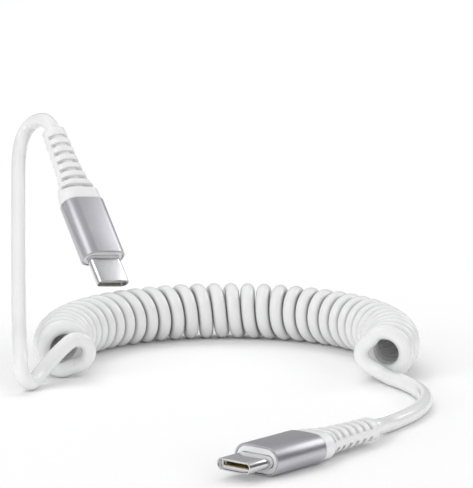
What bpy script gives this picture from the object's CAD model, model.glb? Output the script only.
import bpy, math
from mathutils import Euler, Matrix, Vector


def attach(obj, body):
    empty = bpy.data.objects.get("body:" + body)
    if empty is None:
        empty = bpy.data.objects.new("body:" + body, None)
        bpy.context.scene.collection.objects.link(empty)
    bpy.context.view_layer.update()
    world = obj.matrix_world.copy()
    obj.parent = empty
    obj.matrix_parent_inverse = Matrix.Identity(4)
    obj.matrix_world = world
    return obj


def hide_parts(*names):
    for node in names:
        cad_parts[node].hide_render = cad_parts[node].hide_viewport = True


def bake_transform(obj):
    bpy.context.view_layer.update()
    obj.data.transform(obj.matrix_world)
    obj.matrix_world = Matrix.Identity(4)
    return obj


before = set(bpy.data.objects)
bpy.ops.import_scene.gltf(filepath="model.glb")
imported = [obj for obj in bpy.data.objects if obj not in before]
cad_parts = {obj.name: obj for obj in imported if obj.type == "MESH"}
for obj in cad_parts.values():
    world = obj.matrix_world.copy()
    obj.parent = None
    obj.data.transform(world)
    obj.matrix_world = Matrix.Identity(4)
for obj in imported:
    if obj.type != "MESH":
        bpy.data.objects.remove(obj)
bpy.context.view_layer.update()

MM = 0.001

# ---------------------------------------------------------------- camera
# A long lens on a stand about 0.8 m in front of the cable and 17 cm above the table.
# The frame is taller than wide, so the sensor size goes with its height.
FRAME_H = 488                            # pixels, as the next two are
FOCAL_PX = 3844
OPTICAL_CENTRE_Y = 199.4
CAMERA_PLACE = (7.87 * MM, -782.55 * MM, 169.8 * MM)
CAMERA_PITCH = 0.163

lens = bpy.data.cameras.new("long_lens")
lens.sensor_fit = "VERTICAL"
lens.sensor_height = 36
lens.lens = lens.sensor_height * FOCAL_PX / FRAME_H
lens.shift_y = (OPTICAL_CENTRE_Y - FRAME_H / 2) / FRAME_H
lens.clip_start, lens.clip_end = 0.02, 20
camera = bpy.data.objects.new("camera", lens)
camera.location = CAMERA_PLACE
camera.rotation_euler = (math.pi / 2 - CAMERA_PITCH, 0, 0)
bpy.context.scene.collection.objects.link(camera)
bpy.context.scene.camera = camera
bpy.context.scene.view_settings.view_transform = "Standard"

# ---------------------------------------------------------------- the cord
# A round cord of six copper conductors under a white, softly glossy jacket of
# thermoplastic elastomer, extruded in one length and heat-set over its middle on a rod.
CORD_D = 3.2
MIDDLE = Vector((-7.87, -12.95, 0))      # the origin, a point of the floor
TAIL_X = 41.6                            # mouth of a plug to the end of its strain relief
CORD_SIDES = 28


def placed(p):
    """A point of the layout, in millimetres, as the part's own frame has it."""
    return (Vector(p) - MIDDLE) * MM


def plug_matrix(place, turn):
    """What takes a plug's own millimetres, from its mouth back, to where it lies."""
    spin = Euler([math.radians(a) for a in turn], "XYZ").to_matrix().to_4x4()
    return Matrix.Translation(placed(place)) @ spin @ Matrix.Scale(MM, 4)


# Each plug's mouth, and its turns about X, Y and Z in degrees.
PLUGS = {
    "left": plug_matrix((-27.3, 40, 13.5), (9, -47, 120)),
    "right": plug_matrix((-0.6, -90, 2.9), (0, 0, 50)),
}


def piece(name, verts, faces, sharp=None):
    """A mesh object with smooth faces; edges that fold more than sharp degrees stay crisp."""
    mesh = bpy.data.meshes.new(name)
    mesh.from_pydata([tuple(v) for v in verts], [], faces)
    mesh.polygons.foreach_set("use_smooth", [True] * len(mesh.polygons))
    if sharp is not None:
        mesh.set_sharp_from_angle(angle=math.radians(sharp))
    mesh.validate()
    obj = bpy.data.objects.new(name, mesh)
    bpy.context.scene.collection.objects.link(obj)
    return obj


def ring_faces(rings, sides, closed=False):
    """Faces that join each ring to the next; the ends are capped, or joined to each other."""
    faces = []
    for j in range(rings if closed else rings - 1):
        here, there = j * sides, (j + 1) % rings * sides
        for i in range(sides):
            k = (i + 1) % sides
            faces.append((here + i, here + k, there + k, there + i))
    if not closed:
        last = (rings - 1) * sides
        faces += [tuple(reversed(range(sides))), tuple(range(last, last + sides))]
    return faces


def sides_along(path):
    """Side and up at each point of a path, turned as little as possible on the way."""
    last = len(path) - 1
    frames, up = [], None
    for i in range(last + 1):
        along = (path[min(i + 1, last)] - path[max(i - 1, 0)]).normalized()
        up = up or (Vector((0, 0, 1)) if abs(along.z) < 0.9 else Vector((0, 1, 0)))
        up = (up - up.dot(along) * along).normalized()
        frames.append((along.cross(up), up))
    return frames


def tube(name, path, radius, sides):
    """A round cord of one radius along a path, flat at both ends."""
    verts = []
    for p, (side, up) in zip(path, sides_along(path)):
        for s in range(sides):
            a = math.tau * s / sides
            verts.append(p + radius * (math.cos(a) * up + math.sin(a) * side))
    return piece(name, verts, ring_faces(len(path), sides), sharp=60)


def smooth_route(points, steps=8):
    """Centripetal Catmull-Rom curve through the points of a route."""
    pts = [2 * points[0] - points[1], *points, 2 * points[-1] - points[-2]]
    route = []
    for a, b, c, d in zip(pts, pts[1:], pts[2:], pts[3:]):
        t1 = (b - a).length ** 0.5
        t2 = t1 + (c - b).length ** 0.5
        t3 = t2 + (d - c).length ** 0.5
        for k in range(steps):
            t = t1 + (t2 - t1) * k / steps
            ab = a.lerp(b, t / t1)
            bc = b.lerp(c, (t - t1) / (t2 - t1))
            cd = c.lerp(d, (t - t2) / (t3 - t2))
            early, late = ab.lerp(bc, t / t2), bc.lerp(cd, (t - t1) / (t3 - t1))
            route.append(early.lerp(late, (t - t1) / (t2 - t1)))
    return route + [points[-1]]


PATCH_STOPS = (0.35, 0.65)               # places of a patch's two colours on its noise
CREASE_SPAN = (0.3, 0.85)                # openness where a crease is greyest, and where it ends
GRAIN_DEPTH = 0.00005
MIX_A, MIX_B, MIXED = 6, 7, 2            # the colour sockets of a Mix node


def finish(name, colours, roughness, metallic=0, patch=0.004, grain=0.0004, bump=0.05,
           crease=0, crease_tone=0.5, **sockets):
    """A finish whose colour and roughness drift in patches, under a fine grain in the surface.

    It greys towards crease_tone where the piece's own surfaces close in within crease metres.
    """
    mat = bpy.data.materials.new(name)
    mat.use_nodes = True
    nodes, link = mat.node_tree.nodes, mat.node_tree.links.new
    shader = nodes["Principled BSDF"]
    shader.inputs["Metallic"].default_value = metallic
    for socket, value in sockets.items():
        shader.inputs[socket.replace("_", " ")].default_value = value
    where = nodes.new("ShaderNodeTexCoord")
    drift = nodes.new("ShaderNodeTexNoise")
    drift.inputs["Scale"].default_value = 1 / patch
    drift.inputs["Detail"].default_value = 4
    link(where.outputs["Object"], drift.inputs["Vector"])
    tint = nodes.new("ShaderNodeValToRGB")
    for stop, place, colour in zip(tint.color_ramp.elements, PATCH_STOPS, colours):
        stop.position, stop.color = place, (*colour, 1)
    link(drift.outputs["Fac"], tint.inputs["Fac"])
    colour = tint.outputs["Color"]
    if crease:
        openness = nodes.new("ShaderNodeAmbientOcclusion")
        openness.only_local = True
        openness.inputs["Distance"].default_value = crease
        tone = nodes.new("ShaderNodeMapRange")
        tone.inputs["From Min"].default_value, tone.inputs["From Max"].default_value = CREASE_SPAN
        tone.inputs["To Min"].default_value = crease_tone
        link(openness.outputs["AO"], tone.inputs["Value"])
        greyed = nodes.new("ShaderNodeMix")
        greyed.data_type, greyed.blend_type = "RGBA", "MULTIPLY"
        greyed.inputs["Factor"].default_value = 1
        link(colour, greyed.inputs[MIX_A])
        link(tone.outputs["Result"], greyed.inputs[MIX_B])
        colour = greyed.outputs[MIXED]
    link(colour, shader.inputs["Base Color"])
    gloss = nodes.new("ShaderNodeMapRange")
    gloss.inputs["To Min"].default_value, gloss.inputs["To Max"].default_value = roughness
    link(drift.outputs["Fac"], gloss.inputs["Value"])
    link(gloss.outputs["Result"], shader.inputs["Roughness"])
    fine = nodes.new("ShaderNodeTexNoise")
    fine.inputs["Scale"].default_value = 1 / grain
    link(where.outputs["Object"], fine.inputs["Vector"])
    relief = nodes.new("ShaderNodeBump")
    relief.inputs["Strength"].default_value = bump
    relief.inputs["Distance"].default_value = GRAIN_DEPTH
    link(fine.outputs["Fac"], relief.inputs["Height"])
    link(relief.outputs["Normal"], shader.inputs["Normal"])
    return mat


jacket_white = finish("jacket_white", [(0.84, 0.84, 0.844), (0.86, 0.86, 0.863)], (0.23, 0.28),
                      patch=0.012, grain=0.0005, bump=0.03, crease=0.0016, crease_tone=0.45,
                      Coat_Weight=0.6, Coat_Roughness=0.08)

# ---------------------------------------------------------------- the coil
# The middle of the cord, 36 turns heat-set on a rod, lying as an arc whose turns touch on
# its inside. Its last step at each end draws in a little and runs straight on into the lead.
COIL_D = 12.2
ARC_CENTRE = Vector((-2.1, 12, COIL_D / 2))
ARC_R = 35.3                             # of the line through the middle of the turns
ARC_TURNED = math.radians(3.2)
TURNS = 36
START_ANGLE = math.radians(150)          # place on the first turn, from its top
TURN_STEPS = 8
TURN_GAP = 0.02                          # between turns, on the inside of the arc
TUCK = 0.4
helix_r = (COIL_D - CORD_D) / 2
turn_angle = (CORD_D + TURN_GAP) / (ARC_R - helix_r)
coil_steps = TURNS * TURN_STEPS - 2


def eased(share):
    """The same share, with a gentle start and stop."""
    return share * share * (3 - 2 * share)


def coil_at(k):
    """The cord's middle after k steps of the coil, whose first and last one draw in."""
    psi = START_ANGLE + math.tau * k / TURN_STEPS
    phi = ARC_TURNED + (k - coil_steps / 2) * turn_angle / TURN_STEPS
    out = Vector((math.sin(phi), math.cos(phi), 0))
    from_arc = math.cos(psi) * Vector((0, 0, 1)) - math.sin(psi) * out
    drawn_in = TUCK * eased(max(0, 1 - k, k - coil_steps + 1))
    return ARC_CENTRE + ARC_R * out + (helix_r - drawn_in) * from_arc


def coil_ending_straight(k):
    """The coil with its last step at each end eased on to the straight line of its lead."""
    for end, inner in ((0, 1), (coil_steps, coil_steps - 1)):
        share = 1 - abs(k - end)
        if share > 0:
            straight = coil_at(end).lerp(coil_at(inner), 1 - share)
            return coil_at(k).lerp(straight, eased(share))
    return coil_at(k)


RINGS_PER_STEP = 6
coil_path = [placed(coil_ending_straight(k / RINGS_PER_STEP))
             for k in range(coil_steps * RINGS_PER_STEP + 1)]
coil = tube("curly_cord", coil_path, CORD_D / 2 * MM, CORD_SIDES)
coil.data.materials.append(jacket_white)
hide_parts("coil")

# Pulled out, the coil opens turn by turn and its cord stays round: each ring of the mesh
# takes one share of the pull, none at the left end and all of it at the right.
at_rest = [v.co.copy() for v in coil.data.vertices]
for i, v in enumerate(coil.data.vertices):
    v.co = (i // CORD_SIDES / (len(coil_path) - 1), 0, 0)
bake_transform(coil)
for v, place in zip(coil.data.vertices, at_rest):
    v.co = place

# ---------------------------------------------------------------- the free leads
# The two ends of the same cord, left uncoiled: each goes on straight from the coil, follows
# its points in millimetres and runs straight into the strain relief of its plug.
LEFT_POINTS = [
    (-32.4, 4.2, 3.4), (-31.6, 4.2, 4.6), (-31.4, 4, 6.2), (-32, 3.6, 7.6),
    (-33, 3, 8.3), (-34.2, 2.4, 8.5), (-35.2, 1.6, 8.2), (-36.3, 0.7, 7.4),
    (-37.5, -0.4, 6.4), (-38.7, -1.6, 5.3), (-40, -3.1, 4), (-41.1, -4.6, 2.9),
    (-42, -6.5, 2.1), (-43, -9.2, 1.7), (-43.7, -10.7, 2.3), (-44.4, -11.4, 3.8),
    (-44.9, -10.8, 6), (-45.4, -6.1, 8.8), (-46.1, 3.7, 12), (-46.9, 17.3, 18.1),
    (-47.7, 31.4, 24.4), (-48.5, 47.4, 31.5), (-49.1, 60.1, 37.2), (-49.1, 65.6, 39.5),
    (-48.8, 69.2, 41.3), (-47.9, 70.8, 43.2), (-46.7, 70.9, 44.6), (-45.3, 69.9, 45.6),
    (-43.3, 67.2, 46)]
RIGHT_POINTS = [
    (26.5, 1.1, 6.7), (26.4, 1.1, 5.7), (26.7, 0.8, 4.6), (27.8, 0.3, 3.4),
    (29.5, -0.5, 2.6), (31.1, -1.9, 1.9), (32.7, -4.7, 1.6), (34.4, -7.9, 1.7),
    (36, -11.2, 1.6), (37.4, -15.1, 1.6), (38.4, -19.8, 1.6), (38.6, -25.3, 1.6),
    (37.8, -31, 1.6), (36.3, -36.2, 1.6), (34.6, -40.3, 1.6), (32.5, -44.3, 1.6),
    (30.3, -48.4, 1.7)]
STRAIGHT_IN = 1.6                        # of each lead, just before its boot


def lead(name, side, start, heading, points):
    """A free lead, laid from the coil's end but listed from its plug, where it comes out."""
    into_boot = [PLUGS[side] @ Vector((TAIL_X + back, 0, 0)) for back in (STRAIGHT_IN, 0)]
    route = [placed(p) for p in (start, start + heading, *points)] + into_boot
    path = smooth_route(route)[::-1]
    obj = tube(name, path, CORD_D / 2 * MM, CORD_SIDES)
    obj.data.materials.append(jacket_white)
    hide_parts(f"{side}_lead")
    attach(obj, f"{side}_end")


for side, end, inner, points in (("left", 0, 1, LEFT_POINTS),
                                 ("right", coil_steps, coil_steps - 1, RIGHT_POINTS)):
    onward = (coil_at(end) - coil_at(inner)).normalized()
    lead(f"{side}_cord", side, coil_at(end), onward, points)

# ---------------------------------------------------------------- light and floor
# A white table under a broad soft light above and behind it, two low panels near the lens
# and a plain pale dome. None of these is mirrored in the metal, which shows two softboxes
# and a grey room with one dark wall on the right.
def area_light(name, place, size, power, mirrored=True):
    """A soft rectangular lamp that faces the cable; place and size are in metres."""
    data = bpy.data.lights.new(name, "AREA")
    data.shape, data.size, data.size_y = "RECTANGLE", *size
    data.energy = power
    obj = bpy.data.objects.new(name, data)
    obj.location = place
    obj.rotation_euler = Vector(place).to_track_quat("Z", "Y").to_euler()
    obj.visible_glossy = mirrored
    bpy.context.scene.collection.objects.link(obj)


area_light("overhead_light", (-0.10, 0.42, 0.70), (0.60, 0.50), 1.9, mirrored=False)
area_light("left_panel", (-0.75, -0.55, 0.22), (0.5, 0.5), 2.4, mirrored=False)
area_light("right_panel", (0.65, -0.75, 0.22), (0.5, 0.5), 1.95, mirrored=False)
area_light("right_softbox", (0.662, 0.391, 0.470), (0.44, 0.38), 1.05)
area_light("front_softbox", (-0.470, -0.400, 0.653), (0.55, 0.45), 1.15)

DOME = 0.56                              # the dome's grey, seen only by matt surfaces
WALLS, DARK_WALL, CEILING = (0.42, 0.42, 0.425), (0.13, 0.13, 0.132), (0.54, 0.54, 0.545)
DARK_WALL_SPAN, CEILING_SPAN = (0.6, 0.92), (0.35, 0.80)
world = bpy.data.worlds.new("studio")
bpy.context.scene.world = world
world.use_nodes = True
room, join = world.node_tree.nodes, world.node_tree.links.new


def ramped(socket, span, first, second):
    """A colour that goes from the first to the second as a value crosses its span."""
    ramp = room.new("ShaderNodeValToRGB")
    ramp.color_ramp.interpolation = "EASE"
    for stop, place, colour in zip(ramp.color_ramp.elements, span, (first, second)):
        stop.position, stop.color = place, (*colour, 1)
    join(socket, ramp.inputs["Fac"])
    return ramp.outputs["Color"]


def plain_sky(level):
    """A background of one grey."""
    sky = room.new("ShaderNodeBackground")
    sky.inputs["Color"].default_value = (level, level, level, 1)
    return sky.outputs["Background"]


def mixed(tree, share, first, second):
    """A shader that goes from the first to the second as share goes from 0 to 1."""
    mix = tree.nodes.new("ShaderNodeMixShader")
    for source, socket in zip((share, first, second), mix.inputs):
        tree.links.new(source, socket)
    return mix.outputs["Shader"]


where = room.new("ShaderNodeTexCoord")
split = room.new("ShaderNodeSeparateXYZ")
join(where.outputs["Generated"], split.inputs["Vector"])
low_room = ramped(split.outputs["X"], DARK_WALL_SPAN, WALLS, DARK_WALL)
overhead = ramped(split.outputs["Z"], CEILING_SPAN, (0, 0, 0), (1, 1, 1))
whole_room = room.new("ShaderNodeMix")
whole_room.data_type = "RGBA"
join(overhead, whole_room.inputs["Factor"])
join(low_room, whole_room.inputs[MIX_A])
whole_room.inputs[MIX_B].default_value = (*CEILING, 1)
join(whole_room.outputs[MIXED], room["Background"].inputs["Color"])
seen = room.new("ShaderNodeLightPath")
lit_room = mixed(world.node_tree, seen.outputs["Is Diffuse Ray"],
                 room["Background"].outputs["Background"], plain_sky(DOME))
white_behind = mixed(world.node_tree, seen.outputs["Is Camera Ray"], lit_room, plain_sky(1))
join(white_behind, room["World Output"].inputs["Surface"])

# The lens sees the table a little whiter than it is, and pure white away from the cable.
TABLE_SEEN, TABLE_LIT = 0.98, 0.92
WHITE_SPAN = (0.12, 0.32)                # metres from the origin
FAR = 6
floor = piece("floor", [(-FAR, -FAR, 0), (FAR, -FAR, 0), (FAR, FAR, 0), (-FAR, FAR, 0)],
              [(0, 1, 2, 3)])
paper = bpy.data.materials.new("white_table")
paper.use_nodes = True
sheet, join = paper.node_tree.nodes, paper.node_tree.links.new
sheet.remove(sheet["Principled BSDF"])
place = sheet.new("ShaderNodeTexCoord")
distance = sheet.new("ShaderNodeVectorMath")
distance.operation = "LENGTH"
join(place.outputs["Object"], distance.inputs[0])
away = sheet.new("ShaderNodeMapRange")
away.interpolation_type = "SMOOTHSTEP"
away.inputs["From Min"].default_value, away.inputs["From Max"].default_value = WHITE_SPAN
join(distance.outputs["Value"], away.inputs["Value"])


def matt(white):
    """A matt paper of this whiteness."""
    coat = sheet.new("ShaderNodeBsdfDiffuse")
    coat.inputs["Color"].default_value = (white, white, white, 1)
    return coat.outputs["BSDF"]


glow = sheet.new("ShaderNodeEmission")
faded = mixed(paper.node_tree, away.outputs["Result"], matt(TABLE_SEEN), glow.outputs["Emission"])
ray = sheet.new("ShaderNodeLightPath")
table = mixed(paper.node_tree, ray.outputs["Is Camera Ray"], matt(TABLE_LIT), faded)
join(table, sheet["Material Output"].inputs["Surface"])
floor.data.materials.append(paper)

# ---------------------------------------------------------------- the aluminium sleeves
# Each plug's sleeve is drawn aluminium tube with round sides, blasted fine and anodised
# grey; it is pressed over the moulded plug from the mouth, and its edges are broken.
SLEEVE_W, SLEEVE_T, SLEEVE_L, SLEEVE_WALL = 10.9, 5.8, 14.8, 0.4
SLEEVE_CROWN, SLEEVE_EDGE = 0.08, 0.18
SHELL_OUT = 6.7                          # from the plug's mouth to its sleeve
SECTION_POINTS = 112
EDGE_STEPS = 4


def bar_point(w, t, turn, crown=0):
    """A point on the outline of a bar with round sides, by the share of the way round it.

    Its broad faces rise by crown in the middle.
    """
    r, flat = t / 2, (w - t) / 2
    arc = math.pi * r
    s = (turn % 1) * (2 * arc + 4 * flat)
    if s < arc:
        a = s / r - math.pi / 2
        return flat + r * math.cos(a), r * math.sin(a)
    s -= arc
    if s < 2 * flat:
        return flat - s, r + crown * (1 - (1 - s / flat) ** 2)
    s -= 2 * flat
    if s < arc:
        a = s / r + math.pi / 2
        return -flat + r * math.cos(a), r * math.sin(a)
    s -= arc
    return -flat + s, -r - crown * (1 - (1 - s / flat) ** 2)


def loft(name, side, sections, crown=0):
    """Rings of a bar's outline at (x, width, thickness), joined along the plug and back."""
    verts = []
    for x, w, t in sections:
        for i in range(SECTION_POINTS):
            y, z = bar_point(w, t, i / SECTION_POINTS, crown)
            verts.append(PLUGS[side] @ Vector((x, y, z)))
    return piece(name, verts, ring_faces(len(sections), SECTION_POINTS, closed=True), sharp=35)


def tube_profile(x0, x1, w, t, wall, edge):
    """Sections of a tube from its front lip round its outside, rear lip and inside."""
    angles = [math.pi / 2 * k / EDGE_STEPS for k in range(EDGE_STEPS + 1)]
    rounding = [(edge * (1 - math.sin(a)), -2 * edge * (1 - math.cos(a))) for a in angles]
    front = [(x0 + back, inset) for back, inset in reversed(rounding)]
    rear = [(x1 - back, inset) for back, inset in rounding]
    outer = [(x, w + inset, t + inset) for x, inset in front + rear]
    inner_w, inner_t = w - 2 * wall, t - 2 * wall
    return outer + [(x1, inner_w, inner_t), (x0, inner_w, inner_t)]


anodised = finish("anodised_grey", [(0.62, 0.615, 0.65), (0.65, 0.645, 0.68)], (0.36, 0.40),
                  metallic=1, patch=0.004, grain=0.0001, bump=0.06)
sleeve_end = SHELL_OUT + SLEEVE_L
for side in PLUGS:
    sleeve = loft(f"{side}_metal_sleeve", side,
                  tube_profile(SHELL_OUT, sleeve_end, SLEEVE_W, SLEEVE_T, SLEEVE_WALL, SLEEVE_EDGE),
                  crown=SLEEVE_CROWN)
    sleeve.data.materials.append(anodised)
    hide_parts(f"{side}_sleeve")
    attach(sleeve, f"{side}_end")

# ---------------------------------------------------------------- the bezels
# A gloss white plastic face set a little inside the rim of the sleeve; it centres the
# steel shell, and its slot is a close fit round it.
RIM, BEZEL_L, BEZEL_EDGE = 0.15, 1.6, 0.1
SHELL_W, SHELL_T, SHELL_WALL = 8.25, 2.4, 0.25
SLEEVE_FIT, SHELL_FIT = 0.05, 0.06
face_x = SHELL_OUT + RIM
outer_w = SLEEVE_W - 2 * SLEEVE_WALL - SLEEVE_FIT
outer_t = SLEEVE_T - 2 * SLEEVE_WALL - SLEEVE_FIT
hole_w, hole_t = SHELL_W + SHELL_FIT, SHELL_T + SHELL_FIT
gloss_white = finish("gloss_white", [(0.88, 0.88, 0.885), (0.90, 0.90, 0.904)], (0.14, 0.18),
                     patch=0.005, grain=0.0006, bump=0.02, Coat_Weight=0.4, Coat_Roughness=0.08)
for side in PLUGS:
    bezel = loft(f"{side}_white_face", side, [
        (face_x + BEZEL_L, hole_w, hole_t), (face_x + BEZEL_EDGE, hole_w, hole_t),
        (face_x, hole_w + 2 * BEZEL_EDGE, hole_t + 2 * BEZEL_EDGE),
        (face_x, outer_w - 2 * BEZEL_EDGE, outer_t - 2 * BEZEL_EDGE),
        (face_x + BEZEL_EDGE, outer_w, outer_t), (face_x + BEZEL_L, outer_w, outer_t)])
    bezel.data.materials.append(gloss_white)
    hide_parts(f"{side}_bezel")
    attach(bezel, f"{side}_end")

# ---------------------------------------------------------------- the steel shells
# Deep-drawn stainless steel, nickel plated and bright; the lip at the mouth is rolled
# smooth so that it finds its way into the port.
SHELL_IN, SHELL_CROWN, SHELL_EDGE = 2.5, 0.045, 0.12
bright_nickel = finish("bright_nickel", [(0.75, 0.75, 0.76), (0.80, 0.80, 0.805)], (0.18, 0.23),
                       metallic=1, patch=0.004, grain=0.0003, bump=0.03)
for side in PLUGS:
    shell = loft(f"{side}_steel_shell", side,
                 tube_profile(0, SHELL_OUT + SHELL_IN, SHELL_W, SHELL_T, SHELL_WALL, SHELL_EDGE),
                 crown=SHELL_CROWN)
    shell.data.materials.append(bright_nickel)
    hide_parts(f"{side}_shell")
    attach(shell, f"{side}_end")

# ---------------------------------------------------------------- the strain reliefs
# Soft white elastomer moulded over the end of the cord: a collar against the sleeve, a
# flare, and a tapering boot with slots across both broad faces that leave a spine on
# each narrow side, so that it bends with the cord and doesn't kink it.
COLLAR_L, TAIL_W, TAIL_T = 3.0, 5.4, 4.4
SLOTS, SLOT_PITCH, SLOT_W, FIRST_SLOT = 7, 2.3, 1.0, 2.7
SPINE_T, SLOT_FLOOR = 1.4, 0.25
HOLE_FIT, HOLE_DEPTH = 0.02, 3
core_r = CORD_D / 2 + SLOT_FLOOR
hole_r = CORD_D / 2 + HOLE_FIT
RELIEF_OUTLINE = [                       # place along the plug, width, thickness
    (sleeve_end, SLEEVE_W - 0.5, SLEEVE_T - 0.5),
    (sleeve_end + COLLAR_L, SLEEVE_W - 0.8, SLEEVE_T - 0.6),
    (sleeve_end + COLLAR_L + 2.2, TAIL_W + 2.4, TAIL_T + 0.6),
    (sleeve_end + COLLAR_L + 5.2, TAIL_W + 1.2, TAIL_T + 0.4),
    (sleeve_end + COLLAR_L + 10, TAIL_W + 0.7, TAIL_T + 0.2),
    (TAIL_X, TAIL_W, TAIL_T)]
# Rings of the mesh: back from the sleeve, before the tail, and at each edge of a slot, where
# a ring's place inward of the edge goes with its share of the slot's depth.
COLLAR_ROWS = (0, 0.1, 0.25, 0.6, 1.2, 1.8, 2.4, 2.7, 2.85)
TAIL_ROWS = (0.2, 0.06, 0)
SLOT_LIP = [(-0.14, 0), (-0.06, 0.03), (0, 0.12), (0.02, 0.9), (0.12, 1)]
FRONT_ROUND, REAR_ROUND = (0.35, 0.25), (0.4, 0.2)       # size lost at an end, and over what


def relief_size(x):
    """Width and thickness of the strain relief at a place along the plug."""
    for (x0, w0, t0), (x1, w1, t1) in zip(RELIEF_OUTLINE, RELIEF_OUTLINE[1:]):
        if x <= x1:
            share = (x - x0) / (x1 - x0)
            return w0 + (w1 - w0) * share, t0 + (t1 - t0) * share
    return RELIEF_OUTLINE[-1][1:]


def relief_rows():
    """Places along the boot with the share of a slot's depth that is cut there."""
    rows = [(sleeve_end + back, 0) for back in COLLAR_ROWS]
    for k in reversed(range(SLOTS)):
        middle = TAIL_X - FIRST_SLOT - k * SLOT_PITCH
        rows += [(middle - (SLOT_W / 2 - inward), cut) for inward, cut in SLOT_LIP]
        rows += [(middle + (SLOT_W / 2 - inward), cut) for inward, cut in reversed(SLOT_LIP)]
        rows.append((middle + SLOT_PITCH / 2, 0))
    rows = [row for row in rows if row[0] < TAIL_X - TAIL_ROWS[0]]
    return rows + [(TAIL_X - before, 0) for before in TAIL_ROWS]


def round_end(x):
    """How much smaller the boot is at its two ends, where its edges are round."""
    ends = ((x - sleeve_end, FRONT_ROUND), (TAIL_X - x, REAR_ROUND))
    return sum(lost * max(0, 1 - inward / length) ** 2 for inward, (lost, length) in ends)


def boot_point(x, cut, turn):
    """A point of the boot's skin, sunk by the share cut to the slots' floor off the spines."""
    w, t = relief_size(x)
    less = round_end(x)
    y, z = bar_point(w - less, t - less, turn)
    bottom = max(SPINE_T / 2, math.sqrt(max(0, core_r ** 2 - y ** 2)))
    if abs(z) > bottom:
        z = math.copysign(abs(z) + (bottom - abs(z)) * cut, z)
    return Vector((x, y, z))


def hole_point(x, turn):
    """A point of the round hole that the cord comes out of."""
    a = math.tau * turn - math.pi / 2
    return Vector((x, hole_r * math.cos(a), hole_r * math.sin(a)))


boot_white = finish("boot_white", [(0.84, 0.84, 0.844), (0.86, 0.86, 0.863)], (0.3, 0.36),
                    patch=0.012, grain=0.0004, bump=0.04, crease=0.0012, crease_tone=0.76,
                    Coat_Weight=0.15, Coat_Roughness=0.2)
turns = [i / SECTION_POINTS for i in range(SECTION_POINTS)]
skin = [[boot_point(x, cut, turn) for turn in turns] for x, cut in relief_rows()]
hole = [[hole_point(x, turn) for turn in turns] for x in (TAIL_X, TAIL_X - HOLE_DEPTH)]
boot_rings = skin + hole
for side in PLUGS:
    verts = [PLUGS[side] @ point for ring in boot_rings for point in ring]
    relief = piece(f"{side}_boot", verts, ring_faces(len(boot_rings), SECTION_POINTS), sharp=50)
    relief.data.materials.append(boot_white)
    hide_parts(f"{side}_strain_relief")
    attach(relief, f"{side}_end")

# ---------------------------------------------------------------- what each plug holds
# Inside the shell an insulator carries two rows of gold-plated contacts, side latches and
# ground springs; behind it a small board with its chip lies in a steel can, and the
# conductors run through a hard inner mould and a crimped ferrule into the cord.
INNER_FINISHES = {
    "contact_housing": finish("insulator", [(0.88, 0.88, 0.86), (0.92, 0.92, 0.90)], (0.4, 0.5)),
    "upper_contacts": finish("gold_plate", [(0.86, 0.72, 0.42), (0.92, 0.79, 0.50)], (0.3, 0.4),
                             metallic=1),
    "side_latches": finish("spring_steel", [(0.66, 0.66, 0.67), (0.74, 0.74, 0.75)], (0.2, 0.3),
                           metallic=1),
    "paddle_card": finish("solder_mask", [(0.03, 0.17, 0.08), (0.05, 0.22, 0.10)], (0.3, 0.4)),
    "marker_chip": finish("chip_resin", [(0.02, 0.02, 0.022), (0.035, 0.035, 0.04)], (0.45, 0.6)),
    "chip_resistors": finish("fired_ceramic", [(0.33, 0.26, 0.18), (0.42, 0.34, 0.25)], (0.5, 0.6)),
    "shield_can": finish("tinned_steel", [(0.62, 0.62, 0.62), (0.72, 0.72, 0.72)], (0.3, 0.45),
                         metallic=1),
    "wires": finish("conductor_jackets", [(0.50, 0.06, 0.05), (0.60, 0.09, 0.07)], (0.35, 0.45)),
    "inner_mould": finish("inner_resin", [(0.66, 0.66, 0.60), (0.74, 0.74, 0.68)], (0.4, 0.5)),
}
INNER_FINISHES["lower_contacts"] = INNER_FINISHES["upper_contacts"]
INNER_FINISHES["ground_springs"] = INNER_FINISHES["side_latches"]
INNER_FINISHES["ferrule"] = INNER_FINISHES["shield_can"]
INNER_FINISHES["cable_end"] = jacket_white
for side in PLUGS:
    for name, mat in INNER_FINISHES.items():
        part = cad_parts[f"{side}_{name}"]
        part.data.materials.clear()
        part.data.materials.append(mat)
